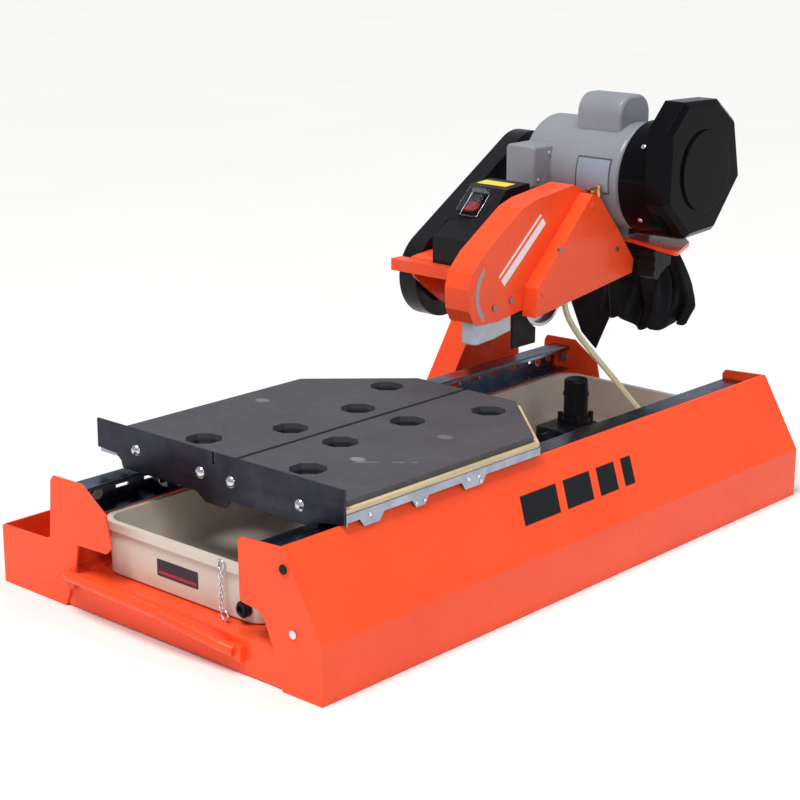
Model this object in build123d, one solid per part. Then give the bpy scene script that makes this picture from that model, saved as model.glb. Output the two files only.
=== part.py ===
"""Wet tile saw: sheet-metal frame, rolling cart, water tray and a tilting belt-driven cutting head.

Millimetres, +Z up. While a sub-part is drawn, x is measured from the middle of the frame's width,
y from the frame's front face towards the rear, and z from the floor. Every sub-part is moved back by
CENTRE_Y when it is written, so that the model's origin is on the floor, at the middle of its footprint.
"""
from build123d import *
from math import acos, atan2, cos, degrees, hypot, pi, radians, sin, tan
import os

# ---------------------------------------------------------------- driving dimensions
FRAME_WIDTH = 610.0
FRAME_LENGTH = 1069.0
PANEL_HEIGHT = 184.0
SHEET = 2.5
PLATE = 3.0
HANDLE_FRONT = -30.47
SCREW_HEAD = 2.6
HALF_WIDTH = FRAME_WIDTH / 2
CENTRE_Y = (HANDLE_FRONT + FRAME_LENGTH + SCREW_HEAD) / 2

# Conveyor rails: lipped channels that open towards each other
KERF_X = 16.6
RAIL_WEB_X = 188.6
RAIL_DEPTH = 34.0
RAIL_BOTTOM = 126.0
RAIL_TOP = 168.0
RAIL_START = 15.0
RAIL_END = 1062.0
RAIL_WALL = 3.0

# Cart
CART_LEFT = -213.0
CART_RIGHT = 248.0
CART_FRONT = 102.5
CART_REAR = 610.0
CHAMFER_Y = 483.0
REAR_LEFT_X = -81.0
REAR_RIGHT_X = 114.0
TABLE_TOP = 213.0
PAD_BOTTOM = 205.0
BOARD_BOTTOM = 199.0
TRAY_BOTTOM = 196.5
FENCE_TOP = 231.0
FENCE_THICK = 3.5
KERF_WIDTH = 7.0
KERF_START = 147.0
ROLLER_R = 17.6
ROLLER_Z = (RAIL_BOTTOM + RAIL_TOP) / 2
ROLLER_YS = (165.0, 520.0)

# Water tray
TRAY_LEFT = -140.0
TRAY_RIGHT = 173.0
TRAY_FRONT = 30.0
TRAY_REAR = 1056.0
TRAY_FLOOR = 50.4
TRAY_RIM = 125.0
TRAY_WALL = 4.0

# Cutting head
SPINDLE_Y, SPINDLE_Z = 764.0, 334.0
MOTOR_Y, MOTOR_Z = 956.0, 494.0
PIVOT_Y, PIVOT_Z = 962.0, 362.0
MOTOR_R = 83.0
MOTOR_LEFT, MOTOR_RIGHT = -104.0, 86.0
PIVOT_R = 16.0
RUN_GAP = 0.05
GUARD_LEFT, GUARD_RIGHT = -6.0, 39.0
COVER_RIGHT = 64.0
BELT_X = -167.0
SPINDLE_PULLEY_R = 30.0
MOTOR_PULLEY_R = 38.0
BELT_GAP = 0.35
BELT_THICK = 3.0
BELT_WIDTH = 10.0
ARBOR_R = 7.94
SEAT_R = 12.5

# Hose from the guard's water inlet to the pump's outlet
HOSE_R = 4.5
HOSE_ROUTE = [
    (45, 796, 345), (45, 796, 310), (54, 816, 269), (72, 847, 226), (98, 867, 188), (122, 884, 152),
    (143, 898, 124), (153, 882, 98), (146, 850, 88), (116, 830, 95.8), (87, 830, 95.8),
]


# ---------------------------------------------------------------- shape helpers
def block(x0, x1, y0, y1, z0, z1):
    """Box between two corners."""
    return Pos((x0 + x1) / 2, (y0 + y1) / 2, (z0 + z1) / 2) * Box(x1 - x0, y1 - y0, z1 - z0)


def rod_x(x0, x1, y, z, r):
    """Cylinder along X."""
    return Pos((x0 + x1) / 2, y, z) * Rot(0, 90, 0) * Cylinder(r, x1 - x0)


def rod_y(y0, y1, x, z, r):
    """Cylinder along Y."""
    return Pos(x, (y0 + y1) / 2, z) * Rot(90, 0, 0) * Cylinder(r, y1 - y0)


def rod_z(z0, z1, x, y, r):
    """Cylinder along Z."""
    return Pos(x, y, (z0 + z1) / 2) * Cylinder(r, z1 - z0)


def plate_x(points, x0, x1):
    """Outline of (y, z) points, extruded from x0 to x1."""
    face = make_face(Polyline([(x0, y, z) for y, z in points], close=True))
    return extrude(face, amount=x1 - x0, dir=(1, 0, 0))


def plate_y(points, y0, y1):
    """Outline of (x, z) points, extruded from y0 to y1."""
    face = make_face(Polyline([(x, y0, z) for x, z in points], close=True))
    return extrude(face, amount=y1 - y0, dir=(0, 1, 0))


def plate_z(points, z0, z1):
    """Outline of (x, y) points, extruded from z0 to z1."""
    face = make_face(Polyline([(x, y, z0) for x, y in points], close=True))
    return extrude(face, amount=z1 - z0, dir=(0, 0, 1))


def stadium_x(c0, r0, c1, r1, x0, x1):
    """Solid between two circles in the YZ plane and their outer tangents."""
    dy, dz = c1[0] - c0[0], c1[1] - c0[1]
    span = hypot(dy, dz)
    along = atan2(dz, dy)
    spread = acos((r0 - r1) / span)
    corners = []
    for (cy, cz), r, side in ((c0, r0, 1), (c1, r1, 1), (c1, r1, -1), (c0, r0, -1)):
        angle = along + side * spread
        corners.append((cy + r * cos(angle), cz + r * sin(angle)))
    return plate_x(corners, x0, x1) + rod_x(x0, x1, *c0, r0) + rod_x(x0, x1, *c1, r1)


def along_x(shape, edges_r):
    """Rounds the edges of a shape that run along X."""
    return fillet(shape.edges().filter_by(Axis.X), edges_r)


def along_y(shape, edges_r):
    """Rounds the edges of a shape that run along Y."""
    return fillet(shape.edges().filter_by(Axis.Y), edges_r)


def along_z(shape, edges_r):
    """Rounds the edges of a shape that run along Z."""
    return fillet(shape.edges().filter_by(Axis.Z), edges_r)


def dome_bolt_y(x, y, z, r=8.5, shank=3.5, length=14.0):
    """Dome-head bolt whose head stands on the plane y, towards the front."""
    ball_r = r * 1.15
    drop = (ball_r ** 2 - r ** 2) ** 0.5
    dome = Pos(x, y + drop, z) * Sphere(ball_r)
    dome = dome & block(x - 20, x + 20, y - 20, y, z - 20, z + 20)
    return dome + rod_y(y, y + length, x, z, shank)


def write(node, shape):
    """Moves a sub-part to the model's origin and writes its STEP file."""
    moved = Pos(0, -CENTRE_Y, 0) * shape
    solids = moved.solids()
    result = solids[0] if len(solids) == 1 else Compound(children=list(solids))
    export_step(result, f"parts/{node}.step")


# ---------------------------------------------------------------- frame
EAR_RIGHT = [
    (HALF_WIDTH, 0), (HALF_WIDTH, 75), (241.5, PANEL_HEIGHT), (170, 180), (165, 174), (166.5, 101), (171, 96.5),
    (199, 94), (210, 82), (223, 53), (238, 3), (238, 0),
]
EAR_LEFT = [
    (-HALF_WIDTH, 0), (-HALF_WIDTH, 83), (-206, 86), (-200, 92), (-194, 170), (-189, 178), (-130, 179), (-83, 147),
    (-73, 104), (-84, 94), (-142, 92), (-150, 50), (-172, 0),
]


def right_side_panel():
    """Slanted sheet wall with a bottom flange and end flanges that meet the end plates."""
    lean = (HALF_WIDTH - 240) / (PANEL_HEIGHT - 75)
    side = SHEET * hypot(1, lean)
    outline = [
        (262, 0), (HALF_WIDTH, 0), (HALF_WIDTH, 75), (240, PANEL_HEIGHT), (240 - side, PANEL_HEIGHT),
        (HALF_WIDTH - SHEET, 74.2), (HALF_WIDTH - SHEET, SHEET), (262, SHEET),
    ]
    return plate_y(outline, PLATE, FRAME_LENGTH - PLATE)


def left_side_channel():
    """Low open-topped channel along the left, which carries the head post."""
    outline = [
        (-HALF_WIDTH, 0), (-200, 0), (-200, 80), (-200 - SHEET, 80), (-200 - SHEET, SHEET),
        (-HALF_WIDTH + SHEET, SHEET), (-HALF_WIDTH + SHEET, 83), (-HALF_WIDTH, 83),
    ]
    return plate_y(outline, PLATE, FRAME_LENGTH - PLATE)


def end_plate(outline, y, screw_spots=()):
    """Flat end plate with rounded corners and screw holes."""
    shape = plate_y(outline, y, y + PLATE)
    soft = shape.edges().filter_by(Axis.Y).filter_by(lambda e: e.center().Z > 60)
    shape = fillet(soft, 2.4)
    for x, z in screw_spots:
        shape -= rod_y(y - 1, y + PLATE + 1, x, z, 3.3)
    return shape


def cross_member(y):
    """Folded channel across the frame, open underneath, with its front wall at y."""
    depth = 90.0
    top = 50.0
    shape = block(-199.5, 261.5, y, y + depth, 0, top)
    shape = along_x(shape, 4.0)
    shape -= block(-197, 259, y + SHEET, y + depth - SHEET, SHEET, top - SHEET)
    shape -= block(-197, 259, y + 18, y + depth - 18, -1, SHEET + 1)
    return shape


def rail(side):
    """Zinc channel that opens towards the kerf; side is -1 on the left and 1 on the right."""
    web = KERF_X + side * RAIL_WEB_X
    inner = web - side * RAIL_DEPTH
    lip = 7.0
    x0, x1 = sorted((web, inner))
    shape = block(x0, x1, RAIL_START, RAIL_END, RAIL_BOTTOM, RAIL_TOP)
    shape = along_y(shape, 2.2)
    a, b = sorted((web - side * RAIL_WALL, inner - side * 1))
    shape -= block(a, b, RAIL_START - 1, RAIL_END + 1, RAIL_BOTTOM + RAIL_WALL, RAIL_TOP - RAIL_WALL)
    lip_a, lip_b = sorted((inner, inner + side * RAIL_WALL))
    shape += block(lip_a, lip_b, RAIL_START, RAIL_END, RAIL_TOP - lip, RAIL_TOP - RAIL_WALL)
    slot_y = 40.0
    while slot_y < RAIL_END - 30:
        a, b = sorted((web - side * 6, web + side * 2))
        shape -= block(a, b, slot_y, slot_y + 22, ROLLER_Z - 4, ROLLER_Z + 4)
        slot_y += 50.0
    return shape


def rail_brackets():
    """Four feet under the left rail and right rail, standing on the cross members."""
    shapes = []
    left_web = KERF_X - RAIL_WEB_X
    right_web = KERF_X + RAIL_WEB_X
    for y in (22.0, FRAME_LENGTH - 22.0 - 60.0):
        foot = block(left_web, left_web + 26, y, y + 60, 50, 53)
        foot += block(left_web, left_web + 3, y, y + 60, 50, RAIL_BOTTOM)
        foot += block(left_web, left_web + 30, y, y + 60, RAIL_BOTTOM - 3, RAIL_BOTTOM)
        shapes.append(foot)
        foot = block(right_web - 26, right_web, y, y + 60, 50, 53)
        foot += block(right_web - 3, right_web, y, y + 60, 50, RAIL_BOTTOM)
        foot += block(right_web - 30, right_web, y, y + 60, RAIL_BOTTOM - 3, RAIL_BOTTOM)
        shapes.append(foot)
    for y in (300.0, 700.0):
        shapes.append(
            block(right_web, right_web + 3, y, y + 40, 130, 160)
            + plate_y([(right_web + 3, 157), (right_web + 3, 160), (251.2, 160), (252.9, 157)], y, y + 40)
        )
    return Compound(children=shapes)


RIGHT_SCREWS = [(244, 158), (259, 80)]
REAR_LEFT_SCREWS = [(-147, 148)]


def frame_bolts():
    """Stop and fixing bolts in the rails, dome screws in the right end plates, and the chain's eye bolt."""
    shapes = [chain_eye()]
    for side in (-1, 1):
        web = KERF_X + side * RAIL_WEB_X
        for y in (51.0, 1003.0):
            head0, head1 = sorted((web - side * 3.0, web - side * 13.0))
            shapes.append(rod_x(head0, head1, y, ROLLER_Z, 8.0))
        for y in (32.0, 1040.0):
            head0, head1 = sorted((web - side * 3.0, web - side * 8.0))
            shapes.append(rod_x(head0, head1, y, ROLLER_Z, 6.5))
    for x, z in RIGHT_SCREWS:
        shapes.append(rod_y(-SCREW_HEAD, 0, x, z, 5.6) + rod_y(0, 8, x, z, 3.0))
        y = FRAME_LENGTH
        shapes.append(rod_y(y, y + SCREW_HEAD, x, z, 5.6) + rod_y(y - 8, y, x, z, 3.0))
    for x, z in REAR_LEFT_SCREWS:
        y = FRAME_LENGTH - PLATE
        shapes.append(rod_y(y - 6, y, x, z, 6.5) + rod_y(y, FRAME_LENGTH + 2, x, z, 3.0))
    return Compound(children=shapes)


def lift_handle():
    """Bent tube with flattened ends, bolted to the front cross member."""
    path = FilletPolyline(
        (-156, -6, 50), (-140, -19, 56), (44, -23, 54), (140, -10, 36), (160, -5, 32), radius=14,
    )
    tube = sweep(Plane(origin=path @ 0, z_dir=path % 0) * Circle(7.5), path=path)
    shape = tube
    shape += block(-166, -146, -6, 0, 30, 49)
    shape += block(150, 172, -6, PLATE, 20, 40)
    return shape


def chain_eye():
    """Eye bolt on top of the front cross member, for the tray's chain."""
    ring = Pos(118, 20, 59) * Rot(90, 0, 0) * Torus(6.0, 1.6)
    return ring + rod_z(50, 54.5, 118, 20, 3.0)


POST_LEFT, POST_RIGHT = -272.0, -222.0


def head_post():
    """Folded channel post on the left side channel, with the pivot bored through its two walls."""
    outline = [
        (796, SHEET), (842, 120), (905, 214), (930, 262), (930, 386), (940, 398), (990, 398), (1000, 388),
        (1014, 262), (1052, SHEET),
    ]
    shape = plate_x(outline, POST_LEFT, POST_RIGHT)
    cavity = [
        (802, SHEET + 4), (847, 120), (910, 214), (934, 262), (934, 392), (1100, 392), (1100, SHEET + 4),
    ]
    shape -= plate_x(cavity, POST_LEFT + 4, POST_RIGHT - 4)
    shape -= rod_x(POST_LEFT - 1, POST_RIGHT + 1, PIVOT_Y, PIVOT_Z, PIVOT_R + RUN_GAP)
    return shape


# ---------------------------------------------------------------- water tray and pump
def water_tray():
    """Moulded tray with rounded corners and a rolled rim, open at the top."""
    outer = block(TRAY_LEFT, TRAY_RIGHT, TRAY_FRONT, TRAY_REAR, TRAY_FLOOR, TRAY_RIM)
    outer = along_z(outer, 34)
    outer = fillet(outer.faces().sort_by(Axis.Z)[0].edges(), 12)
    inner = block(
        TRAY_LEFT + 9, TRAY_RIGHT - 9, TRAY_FRONT + 9, TRAY_REAR - 9, TRAY_FLOOR + TRAY_WALL, TRAY_RIM + 1
    )
    inner = along_z(inner, 26)
    inner = fillet(inner.faces().sort_by(Axis.Z)[0].edges(), 10)
    groove = block(TRAY_LEFT - 1, TRAY_RIGHT + 1, TRAY_FRONT - 1, TRAY_REAR + 1, TRAY_FLOOR - 1, TRAY_RIM - 12)
    core = block(
        TRAY_LEFT + 5, TRAY_RIGHT - 5, TRAY_FRONT + 5, TRAY_REAR - 5, TRAY_FLOOR - 2, TRAY_RIM
    )
    core = along_z(core, 30)
    shape = outer - (groove - core) - inner
    shape -= rod_y(TRAY_FRONT - 1, TRAY_FRONT + 20, 140, 70, 8.2)
    return shape


def drain_plug():
    """Screw plug with a finger loop, in the tray's front wall."""
    shape = rod_y(TRAY_FRONT + 5, TRAY_FRONT + 9, 140, 70, 8.0)
    shape += rod_y(TRAY_FRONT - 1, TRAY_FRONT + 5, 140, 70, 11.0)
    ring = Pos(140, TRAY_FRONT - 3, 70) * Rot(90, 0, 0) * Torus(6.5, 2.0)
    return shape + ring


def tray_chain():
    """Clip on the tray's rim and a hanging run of oval wire links."""
    wire = 0.9
    shapes = []
    clip = Pos(104, TRAY_FRONT - 2.2, TRAY_RIM - 5) * Rot(90, 0, 0) * Torus(6.0, 1.3)
    shapes.append(clip)
    start = Vector(104, TRAY_FRONT - 3, TRAY_RIM - 16.5)
    end = Vector(110.5, 21.0, 64.5)
    links = 7
    step = (end - start) / links
    for i in range(links):
        middle = start + step * (i + 0.5)
        half = step.length / 2 - wire * 0.1
        path = SlotOverall(2 * half + 3.0, 5.2, rotation=90).wires()[0]
        ring = Plane.XZ * path
        tube = sweep(Plane(origin=ring @ 0, z_dir=ring % 0) * Circle(wire), path=ring)
        shapes.append(Pos(middle) * Rot(0, 0, 90 * (i % 2) + 20) * tube)
    return Compound(children=shapes)


PUMP_X, PUMP_Y = 41.0, 842.0
PUMP_FLOOR = TRAY_FLOOR + TRAY_WALL + 0.4
PUMP_TOP = 186.5


def pump_housing():
    """Volute and foot: a stepped black body with a cavity for the impeller."""
    shape = block(PUMP_X - 34, PUMP_X + 30, PUMP_Y - 62, PUMP_Y + 26, PUMP_FLOOR + 8, PUMP_FLOOR + 62)
    shape = along_z(shape, 9)
    shape = fillet(shape.faces().sort_by(Axis.Z)[-1].edges(), 4)
    for dx in (-24, 20):
        for dy in (-50, 14):
            shape += rod_z(PUMP_FLOOR, PUMP_FLOOR + 10, PUMP_X + dx, PUMP_Y + dy, 8.5)
    shape += rod_y(PUMP_Y - 84, PUMP_Y - 40, PUMP_X - 2, PUMP_FLOOR + 44, 15)
    shape += rod_x(PUMP_X + 22, PUMP_X + 46, PUMP_Y - 12, PUMP_FLOOR + 41, 7.5)
    shape -= rod_z(PUMP_FLOOR + 20, PUMP_FLOOR + 70, PUMP_X, PUMP_Y, 20)
    return shape


def pump_can():
    """Ribbed motor can that stands on the volute."""
    low = PUMP_FLOOR + 62.2
    shape = rod_z(low, PUMP_TOP, PUMP_X, PUMP_Y, 19)
    shape = fillet(shape.edges().sort_by(Axis.Z)[-1], 4)
    shape += rod_z(low, low + 9, PUMP_X, PUMP_Y, 24)
    shape += rod_z(PUMP_TOP - 26, PUMP_TOP - 22, PUMP_X, PUMP_Y, 20.5)
    for k in range(4):
        angle = radians(45 + 90 * k)
        shape += rod_z(low, low + 16, PUMP_X + 24 * cos(angle), PUMP_Y + 24 * sin(angle), 4)
    return shape


def pump_impeller():
    """Six-bladed impeller on its short shaft."""
    low = PUMP_FLOOR + 22
    shape = rod_z(low, low + 3, PUMP_X, PUMP_Y, 17) + rod_z(low, low + 36, PUMP_X, PUMP_Y, 4)
    for k in range(6):
        blade = Pos(9.5, 0, low + 8) * Box(13, 1.8, 11)
        shape += Pos(PUMP_X, PUMP_Y, 0) * Rot(0, 0, 60 * k) * blade
    return shape


# ---------------------------------------------------------------- cart
def cart_outline(inset=0.0):
    """Table outline with its two rear chamfers, drawn in from the edge by inset."""
    k = inset * 0.42
    return [
        (CART_LEFT + inset, CART_FRONT + inset), (CART_RIGHT - inset, CART_FRONT + inset),
        (CART_RIGHT - inset, CHAMFER_Y - k), (REAR_RIGHT_X - k, CART_REAR - inset),
        (REAR_LEFT_X + k, CART_REAR - inset), (CART_LEFT + inset, CHAMFER_Y - k),
    ]


def kerf_cut(z0, z1, width=KERF_WIDTH):
    """Slot that the blade runs in, open at the rear."""
    half = width / 2
    return block(KERF_X - half, KERF_X + half, KERF_START, CART_REAR + 5, z0, z1)


HOLE_SPOTS = [(98.0, 172.0), (47.0, 285.0), (47.0, 420.0), (97.0, 536.0)]


def table_holes(z0, z1, r):
    """Eight octagonal holes, in mirrored pairs each side of the kerf."""
    cutters = None
    for dx, y in HOLE_SPOTS:
        for side in (-1, 1):
            prism = extrude(Plane.XY * RegularPolygon(r, 8, rotation=22.5), amount=z1 - z0)
            prism = Pos(KERF_X + side * dx, y, z0) * prism
            cutters = prism if cutters is None else cutters + prism
    return cutters


def cart_tray():
    """Sheet tray under the board, with side skirts, hanging tabs and a rear flange."""
    shape = plate_z(cart_outline(), TRAY_BOTTOM, BOARD_BOTTOM)
    shape += block(CART_LEFT, CART_LEFT + 2, CART_FRONT, CHAMFER_Y, 188, TRAY_BOTTOM)
    shape += block(CART_RIGHT - 2, CART_RIGHT, CART_FRONT, CHAMFER_Y, 188, TRAY_BOTTOM)
    for y0, y1 in ((126, 170), (222, 254), (318, 368)):
        shape += plate_x([(y0, 188), (y0 + 8, 177), (y1 - 8, 177), (y1, 188)], CART_RIGHT - 2, CART_RIGHT)
    shape += block(REAR_LEFT_X, KERF_X - 10, CART_REAR - 2, CART_REAR, 188, TRAY_BOTTOM)
    shape += block(KERF_X + 10, REAR_RIGHT_X, CART_REAR - 2, CART_REAR, 188, TRAY_BOTTOM)
    shape += block(CART_LEFT, CART_RIGHT, CART_FRONT, CART_FRONT + 2, 184, TRAY_BOTTOM)
    shape -= kerf_cut(TRAY_BOTTOM - 30, BOARD_BOTTOM + 1, 14)
    shape -= table_holes(TRAY_BOTTOM - 1, BOARD_BOTTOM + 1, 22)
    return shape


def cart_board():
    """Tan board that fills the tray."""
    shape = plate_z(cart_outline(1.5), BOARD_BOTTOM, PAD_BOTTOM)
    shape -= kerf_cut(BOARD_BOTTOM - 1, PAD_BOTTOM + 1)
    shape -= table_holes(BOARD_BOTTOM - 1, PAD_BOTTOM + 1, 24)
    return shape


def table_pads():
    """Two rubber pads, one each side of the kerf."""
    whole = plate_z(cart_outline(9), PAD_BOTTOM, TABLE_TOP)
    whole -= table_holes(PAD_BOTTOM - 1, TABLE_TOP + 1, 26)
    shapes = []
    for side in (-1, 1):
        a, b = sorted((KERF_X + side * KERF_WIDTH / 2, KERF_X + side * 300))
        shapes.append(whole & block(a, b, 0, 700, PAD_BOTTOM, TABLE_TOP))
    return Compound(children=[s for shape in shapes for s in shape.solids()])


FENCE_FACE = CART_FRONT - FENCE_THICK
FENCE_BOLTS = [(-136, 201), (-9.5, 198), (47.5, 197.5), (171, 195)]


def fence():
    """Straight steel fence across the cart's front, with a notch for the blade."""
    outline = [
        (CART_LEFT - 2, FENCE_TOP), (CART_LEFT - 2, 191), (-177, 189), (-167, 181), (-164, 171.5), (-18, 171.5),
        (0, 160), (36, 160), (48, 171.5), (186, 172), (209, 181), (CART_RIGHT - 1, 187),
        (CART_RIGHT - 1, FENCE_TOP),
    ]
    shape = plate_y(outline, FENCE_FACE, CART_FRONT)
    shape -= block(KERF_X - 2.2, KERF_X + 2.2, 90, 110, 214, 240)
    for x, z in FENCE_BOLTS:
        shape -= rod_y(90, 110, x, z, 3.8)
    return shape


def fence_bolts():
    """Dome bolts through the fence and the tray's front flange."""
    return Compound(children=[dome_bolt_y(x, FENCE_FACE, z, length=FENCE_THICK) for x, z in FENCE_BOLTS])


def roller_brackets():
    """Four plates that hang under the tray beside the rails and carry the roller axles."""
    shapes = []
    for side in (-1, 1):
        inner = KERF_X + side * (RAIL_WEB_X - RAIL_DEPTH - 6)
        a, b = sorted((inner, inner - side * 3))
        for y in ROLLER_YS:
            plate = plate_x(
                [(y - 28, TRAY_BOTTOM), (y - 14, 133), (y + 14, 133), (y + 28, TRAY_BOTTOM)], a, b
            )
            foot = block(*sorted((inner - side * 3, inner - side * 24)), y - 28, y + 28, TRAY_BOTTOM - 3,
                         TRAY_BOTTOM)
            plate = plate + foot - rod_x(a - 1, b + 1, y, ROLLER_Z, 5.0)
            shapes.append(plate)
    return Compound(children=shapes)


def roller_axles():
    """Shouldered axle bolts that carry the rollers."""
    shapes = []
    for side in (-1, 1):
        inner = KERF_X + side * (RAIL_WEB_X - RAIL_DEPTH - 6)
        for y in ROLLER_YS:
            a, b = sorted((inner - side * 3, inner + side * 29))
            axle = rod_x(a, b, y, ROLLER_Z, 5.0)
            a, b = sorted((inner - side * 3, inner - side * 9))
            head = rod_x(a, b, y, ROLLER_Z, 8.5)
            shapes.append(axle + head)
    return Compound(children=shapes)


def cart_roller(side, y):
    """Ball-race roller that runs inside a rail."""
    web = KERF_X + side * RAIL_WEB_X
    a, b = sorted((web - side * 10, web - side * 24))
    shape = rod_x(a, b, y, ROLLER_Z, ROLLER_R)
    shape = fillet(shape.edges().filter_by(GeomType.CIRCLE), 2.0)
    return shape - rod_x(a - 1, b + 1, y, ROLLER_Z, 5.0 + RUN_GAP)


# ---------------------------------------------------------------- cutting head structure
STUD_END = 22.0
STUD_R = 6.0


def pivot_shaft():
    """Shaft that the head tilts on, through the post and the arm, with two set collars."""
    shape = rod_x(-282, 37, PIVOT_Y, PIVOT_Z, PIVOT_R)
    shape += rod_x(-280, POST_LEFT - 0.6, PIVOT_Y, PIVOT_Z, 25)
    shape += rod_x(POST_RIGHT + 0.6, POST_RIGHT + 10, PIVOT_Y, PIVOT_Z, 25)
    shape -= rod_x(STUD_END - 0.5, 40, PIVOT_Y, PIVOT_Z, STUD_R + RUN_GAP)
    return shape


ARM_LEFT, ARM_RIGHT = -144.0, -8.0


def arm_weldment():
    """Sloping deck on two side plates, with the front bar and the spacers for the belt guard."""
    cheek = [
        (660, 364), (660, 377), (676, 379), (800, 389), (1010, 389), (1010, 352), (985, 332), (945, 332),
        (860, 312), (800, 298), (732, 298), (692, 328), (664, 350),
    ]
    shape = plate_x(cheek, ARM_LEFT, ARM_LEFT + 5) + plate_x(cheek, ARM_RIGHT - 5, ARM_RIGHT)
    deck = [(660, 377), (660, 381), (676, 383), (800, 392), (1010, 392), (1010, 388), (800, 388), (676, 379)]
    shape += plate_x(deck, ARM_LEFT, ARM_RIGHT)
    bar = block(-165, ARM_RIGHT, 638, 661, 361, 379) - block(-162, ARM_RIGHT + 1, 641, 662, 360, 376)
    shape += bar
    for y, z in ((696, 346), (806, 350), (870, 372)):
        shape += rod_x(ARM_LEFT - 5.8, ARM_LEFT, y, z, 6)
    shape -= rod_x(ARM_LEFT - 1, ARM_RIGHT + 1, SPINDLE_Y, SPINDLE_Z, 30)
    shape -= rod_x(ARM_LEFT - 7, ARM_RIGHT + 1, PIVOT_Y, PIVOT_Z, PIVOT_R)
    return shape


def spindle_housing():
    """Bored tube that holds the two spindle bearings."""
    shape = rod_x(ARM_LEFT - 1.5, ARM_RIGHT + 1.0, SPINDLE_Y, SPINDLE_Z, 30)
    shape -= rod_x(ARM_LEFT - 3, ARM_RIGHT + 2, SPINDLE_Y, SPINDLE_Z, 17)
    for a, b in ((ARM_LEFT - 3, ARM_LEFT + 13), (ARM_RIGHT - 13, ARM_RIGHT + 2)):
        shape -= rod_x(a, b, SPINDLE_Y, SPINDLE_Z, 20)
    return shape


def ring_x(x0, x1, y, z, r_in, r_out):
    """Annulus along X."""
    return rod_x(x0, x1, y, z, r_out) - rod_x(x0 - 1, x1 + 1, y, z, r_in)


def shaft_bearings():
    """Two spindle bearings and two motor bearings."""
    return Compound(children=[
        ring_x(ARM_LEFT + 1, ARM_LEFT + 13, SPINDLE_Y, SPINDLE_Z, SEAT_R + RUN_GAP, 20),
        ring_x(ARM_RIGHT - 13, ARM_RIGHT - 1, SPINDLE_Y, SPINDLE_Z, SEAT_R + RUN_GAP, 20),
        ring_x(MOTOR_LEFT + 4, MOTOR_LEFT + 15, MOTOR_Y, MOTOR_Z, 8 + RUN_GAP, 17.5),
        ring_x(MOTOR_RIGHT - 15, MOTOR_RIGHT - 4, MOTOR_Y, MOTOR_Z, 8 + RUN_GAP, 17.5),
    ])


# (y, z) outline of the blade guard, from its lower front corner round over the top
GUARD_OUTLINE = [
    (590, 317), (580, 336), (578, 368), (586, 391), (612, 416), (700, 471), (730, 480), (824, 492), (858, 478),
    (884, 430), (884, 392), (864, 360), (850, 350), (704, 319), (646, 311), (600, 313),
]
GUARD_INSIDE = [
    (601, 300), (583, 337), (581, 367.5), (588.5, 389), (614, 413.5), (701, 468.2), (731, 477.2), (823.5, 489),
    (856, 475.5), (881.2, 429), (881.2, 393), (862, 363), (848, 346), (848, 300),
]


FLAP_SCREWS = [(637, 333), (676, 338)]
COVER_SCREWS = [(760, 405), (905, 385)]
NUT_HOLE_R = 26.0
VALVE_X, VALVE_Y = 54.0, 865.0
VALVE_STEM_R = 4.0


def blade_guard():
    """Sheet hood over the blade, open underneath, bored for the arbor on its left side."""
    shape = plate_x(GUARD_OUTLINE, GUARD_LEFT, GUARD_RIGHT)
    for y, z in FLAP_SCREWS:
        shape -= rod_x(GUARD_RIGHT - 5, GUARD_RIGHT + 1, y, z, 2.4)
    shape -= plate_x(GUARD_INSIDE, GUARD_LEFT + SHEET, GUARD_RIGHT - SHEET)
    shape -= rod_x(GUARD_LEFT - 1, GUARD_LEFT + 5, SPINDLE_Y, SPINDLE_Z, 22)
    shape -= rod_x(GUARD_RIGHT - 5, GUARD_RIGHT + 1, SPINDLE_Y, SPINDLE_Z, NUT_HOLE_R)
    return shape


def guard_screws():
    """Dome screws in the guard's right face and along the side cover."""
    shapes = []
    for y, z in FLAP_SCREWS:
        x = GUARD_RIGHT
        shapes.append(rod_x(x, x + 2.4, y, z, 4.6) + rod_x(x - 6, x, y, z, 2.4))
    for y, z in COVER_SCREWS:
        x = COVER_RIGHT
        shapes.append(rod_x(x, x + 1.6, y, z, 4.0) + rod_x(x - 4, x, y, z, 2.0))
    return Compound(children=shapes)


def guard_flap():
    """U-shaped grey spray flap inside the guard's front, hanging below it."""
    profile = [
        (587, 342), (587, 336), (595, 318), (595, 284), (622, 281), (661, 286), (681, 292), (681, 342),
    ]
    outer = plate_x(profile, GUARD_LEFT + SHEET, GUARD_RIGHT - SHEET)
    for y, z in FLAP_SCREWS:
        outer -= rod_x(GUARD_RIGHT - 9, GUARD_RIGHT, y, z, 2.4)
    inner_profile = [(590, 345), (590, 337), (598, 319), (598, 270), (700, 270), (700, 345)]
    return outer - plate_x(inner_profile, GUARD_LEFT + SHEET + 3, GUARD_RIGHT - SHEET - 3)


def guard_skirt():
    """Black rubber strip that hangs behind the flap, inside the guard's right wall."""
    return block(33.5, GUARD_RIGHT - SHEET, 684, 740, 262, 336) - rod_x(30, 40, SPINDLE_Y, SPINDLE_Z, 54)


COVER_OUTLINE = [(703, 310), (707, 354), (838, 479), (858, 470), (906, 417), (952, 362), (948, 342)]


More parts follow.
